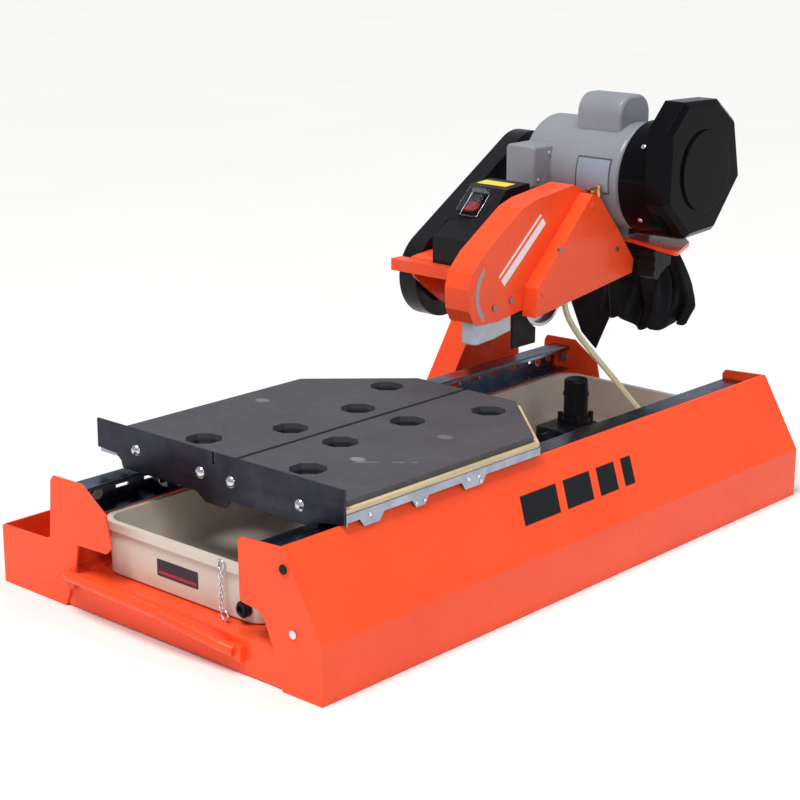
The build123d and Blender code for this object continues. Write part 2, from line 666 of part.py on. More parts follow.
def side_cover():
    """Raised cover over the arbor's outer end, open at the bottom and at the rear corner."""
    shape = plate_x(COVER_OUTLINE, GUARD_RIGHT + 0.2, COVER_RIGHT)
    inside = [(706, 290), (709.5, 352.8), (838.6, 476), (856.6, 467.6), (904, 415.6), (1000, 330), (1000, 290)]
    shape -= plate_x(inside, GUARD_RIGHT - 1, COVER_RIGHT - SHEET)
    for y, z in COVER_SCREWS:
        shape -= rod_x(COVER_RIGHT - 5, COVER_RIGHT + 1, y, z, 2.0)
    return shape - rod_z(430, 500, VALVE_X, VALVE_Y, VALVE_STEM_R)


# ---------------------------------------------------------------- spindle, motor and drive
SHAFT_LEFT = -178.0


def arbor_shaft():
    """Stepped arbor: pulley seat, bearing seats and the threaded 5/8 in blade end."""
    shape = rod_x(SHAFT_LEFT, -4.5, SPINDLE_Y, SPINDLE_Z, SEAT_R)
    shape += rod_x(-4.5, 48, SPINDLE_Y, SPINDLE_Z, ARBOR_R)
    return shape


def blade_flanges():
    """Inner collar and the deep outer collar that clamp the blade."""
    x, y, z = KERF_X, SPINDLE_Y, SPINDLE_Z
    inner = rod_x(x - 9, x - 1.2, y, z, 38) + rod_x(-4.4, x - 9, y, z, 18)
    outer = rod_x(x + 1.2, 31, y, z, 51) - rod_x(23, 32, y, z, 46)
    outer += rod_x(x + 1.2, 31, y, z, 18)
    bore = rod_x(-10, 60, y, z, ARBOR_R)
    return Compound(children=[(inner - bore).solids()[0], (outer - bore).solids()[0]])


def arbor_nut():
    """Hexagon nut on the arbor's outer end."""
    prism = extrude(Plane.YZ * RegularPolygon(14, 6), amount=10)
    shape = Pos(31.0, SPINDLE_Y, SPINDLE_Z) * prism
    return shape - rod_x(30, 60, SPINDLE_Y, SPINDLE_Z, ARBOR_R)


def pulley(y, z, r, bore):
    """Flanged pulley in the belt's plane."""
    half = BELT_WIDTH / 2 + 0.6
    shape = rod_x(BELT_X - half, BELT_X + half, y, z, r)
    shape += rod_x(BELT_X - half - 2.5, BELT_X - half, y, z, r + 4.5)
    shape += rod_x(BELT_X + half, BELT_X + half + 2.5, y, z, r + 4.5)
    return shape - rod_x(BELT_X - 20, BELT_X + 20, y, z, bore)


def drive_belt():
    """Flat ribbed belt round both pulleys."""
    a = (SPINDLE_Y, SPINDLE_Z)
    b = (MOTOR_Y, MOTOR_Z)
    x0, x1 = BELT_X - BELT_WIDTH / 2, BELT_X + BELT_WIDTH / 2
    r0, r1 = SPINDLE_PULLEY_R + BELT_GAP, MOTOR_PULLEY_R + BELT_GAP
    outer = stadium_x(a, r0 + BELT_THICK, b, r1 + BELT_THICK, x0, x1)
    return outer - stadium_x(a, r0, b, r1, x0 - 1, x1 + 1)


def belt_guard():
    """Closed sheet box round the belt, with clearance holes for both shafts."""
    low, high = (746, 342), (962, 477)
    x0, x1 = -184.0, -150.0
    shape = stadium_x(low, 68, high, 66, x0, x1)
    shape -= stadium_x(low, 66, high, 64, x0 + 2, x1 - 2)
    shape -= rod_x(x1 - 5, x1 + 1, SPINDLE_Y, SPINDLE_Z, 16)
    shape -= rod_x(x1 - 5, x1 + 1, MOTOR_Y, MOTOR_Z, 16)
    return shape


BASE_OUTLINE = [(-95, 935), (70, 935), (178, 892), (182, 897), (152, 972), (118, 1010), (-95, 1010)]


def motor_base_plate():
    """Flat plate on the arm's deck that carries the motor, with adjusting slots."""
    shape = plate_z(BASE_OUTLINE, 392, 398)
    for x, y in ((-80, 950), (-80, 992), (88, 992), (112, 940)):
        shape -= block(x - 9, x + 9, y - 4, y + 4, 391, 399)
    return shape


def motor_shell():
    """Rolled motor shell with pressed end bells and a welded foot."""
    left, right = MOTOR_LEFT, MOTOR_RIGHT
    shape = rod_x(left, right, MOTOR_Y, MOTOR_Z, MOTOR_R)
    shape = fillet(shape.edges().filter_by(GeomType.CIRCLE), 12)
    shape -= rod_x(left + 5, right - 5, MOTOR_Y, MOTOR_Z, 78)
    shape += ring_x(left + 1, left + 18, MOTOR_Y, MOTOR_Z, 17.5, 23)
    shape += ring_x(right - 18, right - 1, MOTOR_Y, MOTOR_Z, 17.5, 23)
    shape -= rod_x(left - 1, left + 18, MOTOR_Y, MOTOR_Z, 17.5)
    shape -= rod_x(right - 18, right + 1, MOTOR_Y, MOTOR_Z, 17.5)
    foot = block(-62, 62, MOTOR_Y - 20, MOTOR_Y + 50, 398, 403)
    foot += block(-60, 60, MOTOR_Y - 20, MOTOR_Y - 15, 403, 420)
    foot += block(-60, 60, MOTOR_Y + 38, MOTOR_Y + 43, 403, 430)
    foot -= rod_x(-70, 90, MOTOR_Y, MOTOR_Z, 81)
    return shape + foot


def motor_stator():
    """Wound core pressed into the shell."""
    return ring_x(-52, 30, MOTOR_Y, MOTOR_Z, 47, 78)


def motor_rotor():
    """Rotor core, shaft and cooling fan."""
    shape = rod_x(SHAFT_LEFT, MOTOR_RIGHT + 1, MOTOR_Y, MOTOR_Z, 8)
    shape += rod_x(-52, 30, MOTOR_Y, MOTOR_Z, 45)
    shape += rod_x(40, 43, MOTOR_Y, MOTOR_Z, 52)
    for k in range(8):
        blade = Pos(49, 0, 36) * Box(12, 2.5, 30)
        shape += Pos(0, MOTOR_Y, MOTOR_Z) * Rot(45 * k, 0, 0) * blade
    shape += rod_x(30, 60, MOTOR_Y, MOTOR_Z, 14)
    return shape


def conduit_box():
    """Terminal box on the motor's front."""
    shape = block(-103, -49, 835, 890, 473, 540)
    shape = fillet(shape.edges().filter_by(Axis.Y), 7)
    shape = fillet(shape.faces().sort_by(Axis.Y)[0].edges(), 4)
    return shape - rod_x(-120, 0, MOTOR_Y, MOTOR_Z, MOTOR_R + 0.2)


def capacitor_cover():
    """Rounded capacitor housing on top of the motor."""
    shape = block(-22, 58, 911, 991, 560, 618)
    shape = fillet(shape.edges().filter_by(Axis.X).sort_by(Axis.Z)[-2:], 30)
    shape = fillet(shape.faces().sort_by(Axis.X)[-1].edges().sort_by(Axis.Z)[1:], 7)
    return shape - rod_x(-80, 80, MOTOR_Y, MOTOR_Z, MOTOR_R + 0.2)


# (y, z) outline of the end cover's eight-sided shell
END_OUTLINE = [(905, 620), (994, 618), (1041, 584), (1061, 494), (994, 418), (922, 414), (860, 470), (862, 578)]
END_RIGHT = 187.0


def motor_end_cover():
    """Black spray cover on the motor's right end: round skirt that grows into an eight-sided shell."""
    skirt_r = 88.0
    x0 = 142.0
    shell = plate_x(END_OUTLINE, x0, END_RIGHT - 4)
    shell = chamfer(shell.faces().sort_by(Axis.X)[-1].edges(), 8)
    shape = rod_x(88, x0 + 10, MOTOR_Y, MOTOR_Z, skirt_r) + shell
    shape += rod_x(x0, END_RIGHT, 958, 514, 62)
    middle_y = sum(y for y, z in END_OUTLINE) / 8
    middle_z = sum(z for y, z in END_OUTLINE) / 8
    inside = [(middle_y + (y - middle_y) * 0.96, middle_z + (z - middle_z) * 0.96) for y, z in END_OUTLINE]
    shape -= plate_x(inside, x0 + 4, END_RIGHT - 12)
    return shape - rod_x(86, x0 + 8, MOTOR_Y, MOTOR_Z, skirt_r - 3)


# ---------------------------------------------------------------- switch, water valve, lock knob
SWITCH_LOW = (693.0, 440.0)
SWITCH_HIGH = (741.0, 487.0)
SWITCH_TILT = degrees(atan2(SWITCH_HIGH[1] - SWITCH_LOW[1], SWITCH_HIGH[0] - SWITCH_LOW[0]))
SWITCH_X = -66.0


def on_switch_face(shape):
    """Places a shape drawn about (0, 0, 0), with +Z outwards, on the middle of the switch's sloping face."""
    y = (SWITCH_LOW[0] + SWITCH_HIGH[0]) / 2
    z = (SWITCH_LOW[1] + SWITCH_HIGH[1]) / 2
    return Pos(SWITCH_X, y, z) * Rot(SWITCH_TILT, 0, 0) * shape


def switch_box():
    """Black box with a sloping face, recessed for the rocker."""
    shape = plate_x([SWITCH_LOW, SWITCH_HIGH, (797, 491), (797, 440)], -100, -25)
    shape = fillet(shape.edges().filter_by(Axis.X).sort_by(Axis.Z)[-2:], 3)
    shape -= plate_x([(704, 443), (741, 481), (794, 487), (794, 443)], -97, -28)
    shape -= on_switch_face(Box(23, 33, 30))
    return shape


def switch_bracket():
    """Folded bracket that holds the switch box over the arm's deck."""
    profile = [
        (655, 379), (655, 420), (693, 440), (797, 440), (797, 391.8), (676, 383), (660, 381), (658, 379),
    ]
    inside = [(657.5, 370), (657.5, 418.5), (693.6, 437), (900, 437), (900, 370)]
    return plate_x(profile, -96, -30) - plate_x(inside, -93.5, -32.5)


def switch_rocker():
    """Rocker paddle that tips about its middle."""
    shape = plate_x([(-15, -3), (-15, 5), (0, 2.5), (15, 3), (15, -3), (0, -7)], -10.5, 10.5)
    return on_switch_face(shape)


def switch_cover():
    """Clear splash cover over the rocker, hinged along its upper edge."""
    shape = Pos(0, 0, 8) * Box(34, 46, 14) - Pos(0, 0, 6.5) * Box(31, 43, 14)
    shape += Pos(0, 24.2, 3.2) * Rot(0, 90, 0) * Cylinder(2.4, 34)
    shape -= Pos(0, 24.2, 3.2) * Rot(0, 90, 0) * Cylinder(1.2, 40)
    return on_switch_face(Pos(0, 0, 0) * shape)


def water_valve():
    """Brass valve on the side cover's rear slope, and the brass elbow inside the cover."""
    valve = rod_z(448, 484, VALVE_X, VALVE_Y, VALVE_STEM_R) + rod_z(471, 480, VALVE_X, VALVE_Y, 5.6)
    valve += rod_x(VALVE_X - 12, VALVE_X, VALVE_Y, 475.5, 3.6)
    elbow = rod_x(39.4, 50, 796, 362, 4.5) + rod_z(345, 362, 45, 796, 4.5) + rod_z(356, 368, 45, 796, 5.6)
    return Compound(children=[valve, elbow])


def valve_lever():
    """Lever that turns the valve's plug."""
    shape = rod_z(484.4, 488, VALVE_X, VALVE_Y, 5.5)
    return shape + block(VALVE_X - 2.5, VALVE_X + 2.5, VALVE_Y - 26, VALVE_Y, 484.4, 487.4)


def lock_knob():
    """Three-lobed clamp knob whose stud screws into the pivot shaft's right end."""
    x0, x1 = 76.0, 108.0
    shape = rod_x(x0, x1, PIVOT_Y, PIVOT_Z, 17)
    for k in range(3):
        lobe = Pos((x0 + x1) / 2 + 2, 0, 18.5) * Box(x1 - x0 - 4, 18, 18)
        lobe = fillet(lobe.edges().filter_by(Axis.X), 6)
        shape += Pos(0, PIVOT_Y, PIVOT_Z) * Rot(120 * k + 30, 0, 0) * lobe
    shape += rod_x(STUD_END, x0, PIVOT_Y, PIVOT_Z, STUD_R)
    return shape


# ---------------------------------------------------------------- soft parts
def splash_curtain():
    """Rubber curtain behind the blade: a bunched part on the right and a flat flap on the left."""
    bunched = [
        (-60, 390), (78, 390), (106, 330), (120, 275), (98, 238), (60, 232), (20, 240), (-20, 230), (-60, 236),
    ]
    flat = [(-130, 390), (-50, 390), (-50, 280), (-58, 250), (-76, 172), (-100, 190), (-130, 200)]
    shape = plate_y(bunched, 1010.2, 1056)
    shape = fillet(shape.edges().filter_by(Axis.Y), 6)
    return shape + plate_y(flat, 1052, 1056)


def hose():
    """Water hose along straight runs joined by tangent arcs."""
    points = [Vector(*p) for p in HOSE_ROUTE]
    radii = []
    for a, b, c in zip(points, points[1:], points[2:]):
        turn = radians((b - a).get_angle(c - b))
        radii.append(0.45 * min((b - a).length, (c - b).length) / tan(turn / 2))
    path = FilletPolyline(*points, radius=radii)
    tube = sweep(Plane(origin=points[0], z_dir=points[1] - points[0]) * Circle(HOSE_R), path=path)
    expected = pi * HOSE_R ** 2 * path.length
    print("hose radii", [round(r) for r in radii], "length", round(path.length, 1))
    print("hose volume / section times length", round(tube.volume / expected, 4))
    return tube


# ---------------------------------------------------------------- write every sub-part
def main():
    """Builds and writes all the sub-parts."""
    os.makedirs("parts", exist_ok=True)
    write("right_side_panel", right_side_panel())
    write("left_side_channel", left_side_channel())
    write("front_right_plate", end_plate(EAR_RIGHT, 0, RIGHT_SCREWS))
    write("front_left_plate", end_plate(EAR_LEFT, 0))
    rear = FRAME_LENGTH - PLATE
    write("rear_end_plates", Compound(children=[
        end_plate(EAR_RIGHT, rear, RIGHT_SCREWS), end_plate(EAR_LEFT, rear, REAR_LEFT_SCREWS),
    ]))
    write("cross_members", Compound(children=[
        cross_member(PLATE), cross_member(FRAME_LENGTH - PLATE - 90),
    ]))
    write("left_rail", rail(-1))
    write("right_rail", rail(1))
    write("rail_brackets", rail_brackets())
    write("frame_bolts", frame_bolts())
    write("lift_handle", lift_handle())
    write("head_post", head_post())
    write("water_tray", water_tray())
    write("drain_plug", drain_plug())
    write("tray_chain", tray_chain())
    write("pump_housing", pump_housing())
    write("pump_can", pump_can())
    write("pump_impeller", pump_impeller())
    write("cart_tray", cart_tray())
    write("cart_board", cart_board())
    write("table_pads", table_pads())
    write("fence", fence())
    write("cart_bolts", Compound(children=[fence_bolts(), roller_axles()]))
    write("roller_brackets", roller_brackets())
    for side, side_name in ((-1, "left"), (1, "right")):
        for y, end_name in zip(ROLLER_YS, ("front", "rear")):
            write(f"roller_{end_name}_{side_name}", cart_roller(side, y))
    write("pivot_shaft", pivot_shaft())
    write("arm_weldment", arm_weldment())
    write("spindle_housing", spindle_housing())
    write("shaft_bearings", shaft_bearings())
    write("blade_guard", blade_guard())
    write("guard_screws", guard_screws())
    write("guard_flap", guard_flap())
    write("guard_skirt", guard_skirt())
    write("side_cover", side_cover())
    write("arbor_shaft", arbor_shaft())
    write("blade_flanges", blade_flanges())
    write("arbor_nut", arbor_nut())
    write("spindle_pulley", pulley(SPINDLE_Y, SPINDLE_Z, SPINDLE_PULLEY_R, SEAT_R))
    write("motor_pulley", pulley(MOTOR_Y, MOTOR_Z, MOTOR_PULLEY_R, 8))
    write("drive_belt", drive_belt())
    write("belt_guard", belt_guard())
    write("motor_base_plate", motor_base_plate())
    write("motor_shell", motor_shell())
    write("motor_stator", motor_stator())
    write("motor_rotor", motor_rotor())
    write("conduit_box", conduit_box())
    write("capacitor_cover", capacitor_cover())
    write("motor_end_cover", motor_end_cover())
    write("switch_box", switch_box())
    write("switch_bracket", switch_bracket())
    write("switch_rocker", switch_rocker())
    write("switch_cover", switch_cover())
    write("water_valve", water_valve())
    write("valve_lever", valve_lever())
    write("lock_knob", lock_knob())
    write("splash_curtain", splash_curtain())
    write("hose", hose())


main()
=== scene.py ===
"""Looks for a wet tile saw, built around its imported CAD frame."""

import math

import bmesh
import bpy
from mathutils import Matrix, Vector, noise


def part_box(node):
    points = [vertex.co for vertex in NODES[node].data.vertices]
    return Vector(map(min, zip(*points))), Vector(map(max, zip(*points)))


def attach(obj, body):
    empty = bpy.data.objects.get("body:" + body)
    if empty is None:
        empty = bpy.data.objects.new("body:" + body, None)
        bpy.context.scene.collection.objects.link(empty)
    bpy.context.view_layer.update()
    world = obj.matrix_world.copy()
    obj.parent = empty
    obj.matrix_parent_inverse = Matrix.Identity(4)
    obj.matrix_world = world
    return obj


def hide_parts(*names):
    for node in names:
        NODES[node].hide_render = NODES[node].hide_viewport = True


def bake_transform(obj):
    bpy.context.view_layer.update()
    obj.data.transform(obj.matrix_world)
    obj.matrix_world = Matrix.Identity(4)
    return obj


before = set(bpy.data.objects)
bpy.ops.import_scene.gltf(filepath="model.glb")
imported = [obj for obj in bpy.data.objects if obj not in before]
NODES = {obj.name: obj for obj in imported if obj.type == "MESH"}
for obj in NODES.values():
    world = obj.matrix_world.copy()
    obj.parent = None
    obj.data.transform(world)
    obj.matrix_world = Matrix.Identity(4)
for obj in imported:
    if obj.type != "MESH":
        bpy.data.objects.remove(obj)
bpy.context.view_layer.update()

MM = 0.001
ORIGIN_Y = 520.565  # the row frame's origin lies this far behind the saw's front face, mm


def at(x, y, z):
    """A point in metres from millimetres: x across, y back from the front face, z up."""
    return Vector((x * MM, (y - ORIGIN_Y) * MM, z * MM))


# ---------------------------------------------------------------- materials


class Look:
    """One Principled material, with small helpers that add its procedural detail."""

    def __init__(self, name, **sockets):
        self.material = bpy.data.materials.new(name)
        self.material.use_nodes = True
        self.tree = self.material.node_tree
        self.tree.nodes.clear()
        self.output = self.node("ShaderNodeOutputMaterial")
        self.shader = self.node("ShaderNodeBsdfPrincipled")
        self.link(self.shader.outputs["BSDF"], self.output.inputs["Surface"])
        for socket, value in sockets.items():
            self.shader.inputs[socket.replace("_", " ")].default_value = value
        self.place = self.node("ShaderNodeTexCoord").outputs["Object"]
        self.height = None

    def node(self, kind, **settings):
        made = self.tree.nodes.new(kind)
        for key, value in settings.items():
            setattr(made, key, value)
        return made

    def link(self, a, b):
        self.tree.links.new(a, b)

    def noise(self, scale, detail=4.0, stretch=(1, 1, 1), rough=0.55):
        turned = self.node("ShaderNodeMapping")
        turned.inputs["Scale"].default_value = stretch
        self.link(self.place, turned.inputs["Vector"])
        made = self.node("ShaderNodeTexNoise")
        made.inputs["Scale"].default_value = scale
        made.inputs["Detail"].default_value = detail
        made.inputs["Roughness"].default_value = rough
        self.link(turned.outputs[0], made.inputs["Vector"])
        return made.outputs["Fac"]

    def cells(self, scale, stretch=(1, 1, 1)):
        turned = self.node("ShaderNodeMapping")
        turned.inputs["Scale"].default_value = stretch
        self.link(self.place, turned.inputs["Vector"])
        made = self.node("ShaderNodeTexVoronoi")
        made.inputs["Scale"].default_value = scale
        self.link(turned.outputs[0], made.inputs["Vector"])
        return made.outputs["Distance"]

    def spread(self, value, low, high, to_low, to_high):
        made = self.node("ShaderNodeMapRange")
        made.inputs["From Min"].default_value = low
        made.inputs["From Max"].default_value = high
        made.inputs["To Min"].default_value = to_low
        made.inputs["To Max"].default_value = to_high
        self.link(value, made.inputs["Value"])
        return made.outputs["Result"]

    def maths(self, operation, a, b=None):
        made = self.node("ShaderNodeMath", operation=operation)
        for socket, value in zip(made.inputs, (a, b)):
            if isinstance(value, (int, float)):
                socket.default_value = value
            elif value is not None:
                self.link(value, socket)
        return made.outputs[0]

    def mix(self, factor, a, b):
        made = self.node("ShaderNodeMix", data_type="RGBA")
        for socket, value in ((made.inputs[0], factor), (made.inputs[6], a), (made.inputs[7], b)):
            if isinstance(value, tuple):
                socket.default_value = (*value, 1)
            elif isinstance(value, (int, float)):
                socket.default_value = value
            else:
                self.link(value, socket)
        return made.outputs[2]

    def paint(self, colour):
        self.link(colour, self.shader.inputs["Base Color"])

    def rough(self, value, low, high):
        self.link(self.spread(value, 0.3, 0.7, low, high), self.shader.inputs["Roughness"])

    def relief(self, *layers, rounding=0.0009):
        """Bump layers of (height, distance in metres, strength) over softly rounded edges."""
        rounded = self.node("ShaderNodeBevel", samples=4)
        rounded.inputs["Radius"].default_value = rounding
        normal = rounded.outputs[0]
        for height, distance, strength in layers:
            made = self.node("ShaderNodeBump")
            made.inputs["Distance"].default_value = distance
            made.inputs["Strength"].default_value = strength
            self.link(height, made.inputs["Height"])
            self.link(normal, made.inputs["Normal"])
            normal = made.outputs[0]
        self.link(normal, self.shader.inputs["Normal"])

    def axes(self):
        parts = self.node("ShaderNodeSeparateXYZ")
        self.link(self.place, parts.inputs[0])
        return parts.outputs

    def within(self, value, low, high, soft=0.0004):
        """1 where value lies between low and high, falling to 0 over a short soft edge."""
        rise = self.spread(value, low - soft, low + soft, 0, 1)
        fall = self.spread(value, high - soft, high + soft, 1, 0)
        return self.maths("MULTIPLY", rise, fall)

    def hypotenuse(self, a, b):
        squares = self.maths("MULTIPLY", a, a), self.maths("MULTIPLY", b, b)
        return self.maths("SQRT", self.maths("ADD", *squares))

    def edges(self, radius, low=0.02, high=0.25):
        """1 along the sharp edges, broken up by noise, for wear."""
        soft = self.node("ShaderNodeBevel", samples=4)
        soft.inputs["Radius"].default_value = radius
        flat = self.node("ShaderNodeNewGeometry").outputs["Normal"]
        dot = self.node("ShaderNodeVectorMath", operation="DOT_PRODUCT")
        self.link(soft.outputs[0], dot.inputs[0])
        self.link(flat, dot.inputs[1])
        turned = self.maths("SUBTRACT", 1.0, dot.outputs["Value"])
        broken = self.spread(self.noise(160, 5), 0.35, 0.65, 0.25, 1.0)
        return self.maths("MULTIPLY", self.spread(turned, low, high, 0, 1), broken)


def coat(name, colour, shade, worn, rough=(0.22, 0.34), grain=520, peel=0.00012, clear=0.08, gloss=0.22):
    """Sprayed powder coat: slight orange peel, faint drift in colour and lighter rubbed edges."""
    look = Look(name, Coat_Weight=clear, Coat_Roughness=0.12, Specular_IOR_Level=gloss)
    drift = look.noise(7, 5)
    body = look.mix(look.spread(drift, 0.3, 0.7, 0, 1), colour, shade)
    dust = look.spread(look.noise(900, 2), 0.66, 0.8, 0, 0.35)
    body = look.mix(dust, body, worn)
    look.paint(look.mix(look.maths("MULTIPLY", look.edges(0.0012), 0.5), body, worn))
    look.rough(look.noise(34, 6), *rough)
    look.relief((look.noise(grain, 2), peel, 0.35), (look.noise(28, 3), 0.0005, 0.12))
    return look


def metal(name, colour, shade, rough=(0.18, 0.4), brush=(1, 1, 1), brush_scale=300, scratch=0.00006,
          spangle=0):
    """Bare or plated metal: brushed direction, stains and handling marks."""
    look = Look(name, Metallic=1.0)
    stain = look.noise(18, 6, rough=0.65)
    body = look.mix(look.spread(stain, 0.35, 0.68, 0, 1), colour, shade)
    if spangle:
        body = look.mix(look.spread(look.cells(spangle), 0.1, 0.7, 0.4, 0), body, shade)
    look.paint(body)
    look.rough(look.noise(60, 6, brush), *rough)
    look.relief((look.noise(brush_scale, 5, brush), scratch, 0.3))
    return look


def moulded(name, colour, shade, rough=(0.35, 0.5), grain=900, depth=0.00008, **more):
    """Moulded plastic with a fine texture and dusty patches."""
    look = Look(name, **more)
    look.paint(look.mix(look.spread(look.noise(11, 6), 0.3, 0.7, 0, 1), colour, shade))
    look.rough(look.noise(45, 5), *rough)
    look.relief((look.noise(grain, 3), depth, 0.4), (look.noise(20, 3), 0.0006, 0.1))
    return look


ORANGE, ORANGE_SHADE, ORANGE_WORN = (0.93, 0.088, 0.022), (0.86, 0.072, 0.018), (0.98, 0.24, 0.11)

orange = coat("orange_powder_coat", ORANGE, ORANGE_SHADE, ORANGE_WORN)
black_coat = coat("black_powder_coat", (0.006, 0.006, 0.008), (0.010, 0.010, 0.013), (0.06, 0.06, 0.07),
                  clear=0.0, gloss=0.16)
motor_coat = coat(
    "motor_grey_paint", (0.25, 0.26, 0.29), (0.21, 0.22, 0.255), (0.5, 0.49, 0.48),
    rough=(0.24, 0.38), clear=0.25,
)
LENGTHWISE = (1, 0.08, 1)  # brushed along the saw
zinc = metal("zinc_plate", (0.40, 0.44, 0.53), (0.24, 0.27, 0.34), (0.16, 0.36), LENGTHWISE, 420,
             0.00008, 55)
# painted shade: the rails take a copy of the zinc plate at about half brightness, for the shade beneath the
# table
rail_zinc_painted_shade = metal("rail_zinc_painted_shade", (0.22, 0.25, 0.33), (0.10, 0.12, 0.17), (0.14, 0.34), LENGTHWISE, 420,
                  0.00008, 55)
dark_zinc = metal("fence_zinc", (0.055, 0.057, 0.075), (0.028, 0.03, 0.042), (0.26, 0.48), (0.06, 1, 1),
                  380, 0.00012, 40)
bright = metal("bright_plate", (0.78, 0.79, 0.82), (0.62, 0.63, 0.67), (0.08, 0.24))
turned_steel = metal("turned_steel", (0.60, 0.60, 0.63), (0.45, 0.45, 0.48), (0.15, 0.35), (3, 0.3, 0.3), 300)
screw_grey = metal("grey_screw", (0.34, 0.34, 0.38), (0.18, 0.18, 0.2), (0.25, 0.45))
black_oxide = metal("black_oxide", (0.06, 0.06, 0.07), (0.03, 0.03, 0.035), (0.3, 0.5))
laminations = metal("iron_core", (0.2, 0.2, 0.21), (0.13, 0.12, 0.12), (0.45, 0.7), (9, 0.4, 0.4),
                    200, 0.0003)
brass = metal("brass", (0.78, 0.52, 0.20), (0.52, 0.33, 0.12), (0.2, 0.42))
black_moulded = moulded("black_plastic", (0.006, 0.006, 0.009), (0.012, 0.012, 0.016), (0.25, 0.45),
                        Specular_IOR_Level=0.16)
gloss_black = moulded("gloss_black_cover", (0.003, 0.003, 0.004), (0.005, 0.005, 0.007), (0.09, 0.16),
                      500, 0.00003, Specular_IOR_Level=0.06)
black_rubber = moulded("black_rubber", (0.004, 0.004, 0.007), (0.010, 0.010, 0.014), (0.5, 0.75), 700, 0.0002,
                       Specular_IOR_Level=0.25)
pale_rubber = moulded("pale_rubber", (0.58, 0.60, 0.66), (0.46, 0.48, 0.55), (0.45, 0.65), 600, 0.0002)
clear = moulded("clear_cover", (0.97, 0.98, 0.99), (0.9, 0.93, 0.95), (0.02, 0.07), 300, 0.00002,
                Transmission_Weight=1.0, IOR=1.3)
hose_look = moulded("hose_vinyl", (0.86, 0.78, 0.55), (0.78, 0.68, 0.44), (0.12, 0.3), 260, 0.0001,
                    Transmission_Weight=0.35, IOR=1.42)
yellow = moulded("yellow_label", (0.90, 0.68, 0.05), (0.82, 0.60, 0.05), (0.3, 0.45))


def panel_orange():
    """Powder coat with a plain printed mark of slanted black bars on the sloping face."""
    look = coat("orange_panel_printed", ORANGE, ORANGE_SHADE, ORANGE_WORN)
    _, y, z = look.axes()
    slant = look.maths("SUBTRACT", y, look.maths("MULTIPLY", z, 0.35))
    band = look.within(z, 0.113, 0.147, 0.0006)
    bars = None
    start = (370 - ORIGIN_Y) * MM
    for index, width in enumerate((0.078, 0.060, 0.042, 0.024)):
        bar = look.within(slant, start, start + width, 0.0006)
        start += width + 0.016
        bars = bar if bars is None else look.maths("MAXIMUM", bars, bar)
    mark = look.maths("MULTIPLY", bars, band)
    inked = look.mix(mark, look.shader.inputs["Base Color"].links[0].from_socket, (0.008, 0.008, 0.01))
    look.paint(inked)
    return look


def guard_orange():
    """Powder coat with a pale diagonal band and a grey arc as plain printed decoration."""
    look = coat("orange_guard_printed", ORANGE, ORANGE_SHADE, ORANGE_WORN)
    x, y, z = look.axes()
    tilt = math.atan2(96, 115)
    foot = at(0, 655, 368)
    along = look.maths("ADD", look.maths("MULTIPLY", look.maths("SUBTRACT", y, foot.y), math.cos(tilt)),
                       look.maths("MULTIPLY", look.maths("SUBTRACT", z, foot.z), math.sin(tilt)))
    across = look.maths("SUBTRACT", look.maths("MULTIPLY", look.maths("SUBTRACT", z, foot.z), math.cos(tilt)),
                        look.maths("MULTIPLY", look.maths("SUBTRACT", y, foot.y), math.sin(tilt)))
    outside = look.within(x, 0.0385, 0.0405, 0.0002)
    stripes = look.maths("MAXIMUM", look.within(across, -0.008, 0.004), look.within(across, 0.009, 0.013))
    band = look.maths("MULTIPLY", look.maths("MULTIPLY", stripes, look.within(along, 0.0, 0.125)), outside)
    hub = at(0, 648, 356)
    ry = look.maths("SUBTRACT", y, hub.y)
    rz = look.maths("SUBTRACT", z, hub.z)
    radius = look.hypotenuse(ry, rz)
    arc = look.maths("MULTIPLY", look.within(radius, 0.046, 0.053), look.within(ry, -0.06, -0.034, 0.001))
    arc = look.maths("MULTIPLY", arc, outside)
    base = look.shader.inputs["Base Color"].links[0].from_socket
    look.paint(look.mix(arc, look.mix(band, base, (0.80, 0.80, 0.78)), (0.30, 0.31, 0.35)))
    return look


WORN_OVALS = (  # centre across and back, half sizes, strength
    (-160, 357, 12, 10, 0.35),
    (134, 244, 12, 9, 0.5),
    (152, 396, 13, 10, 0.25),
)


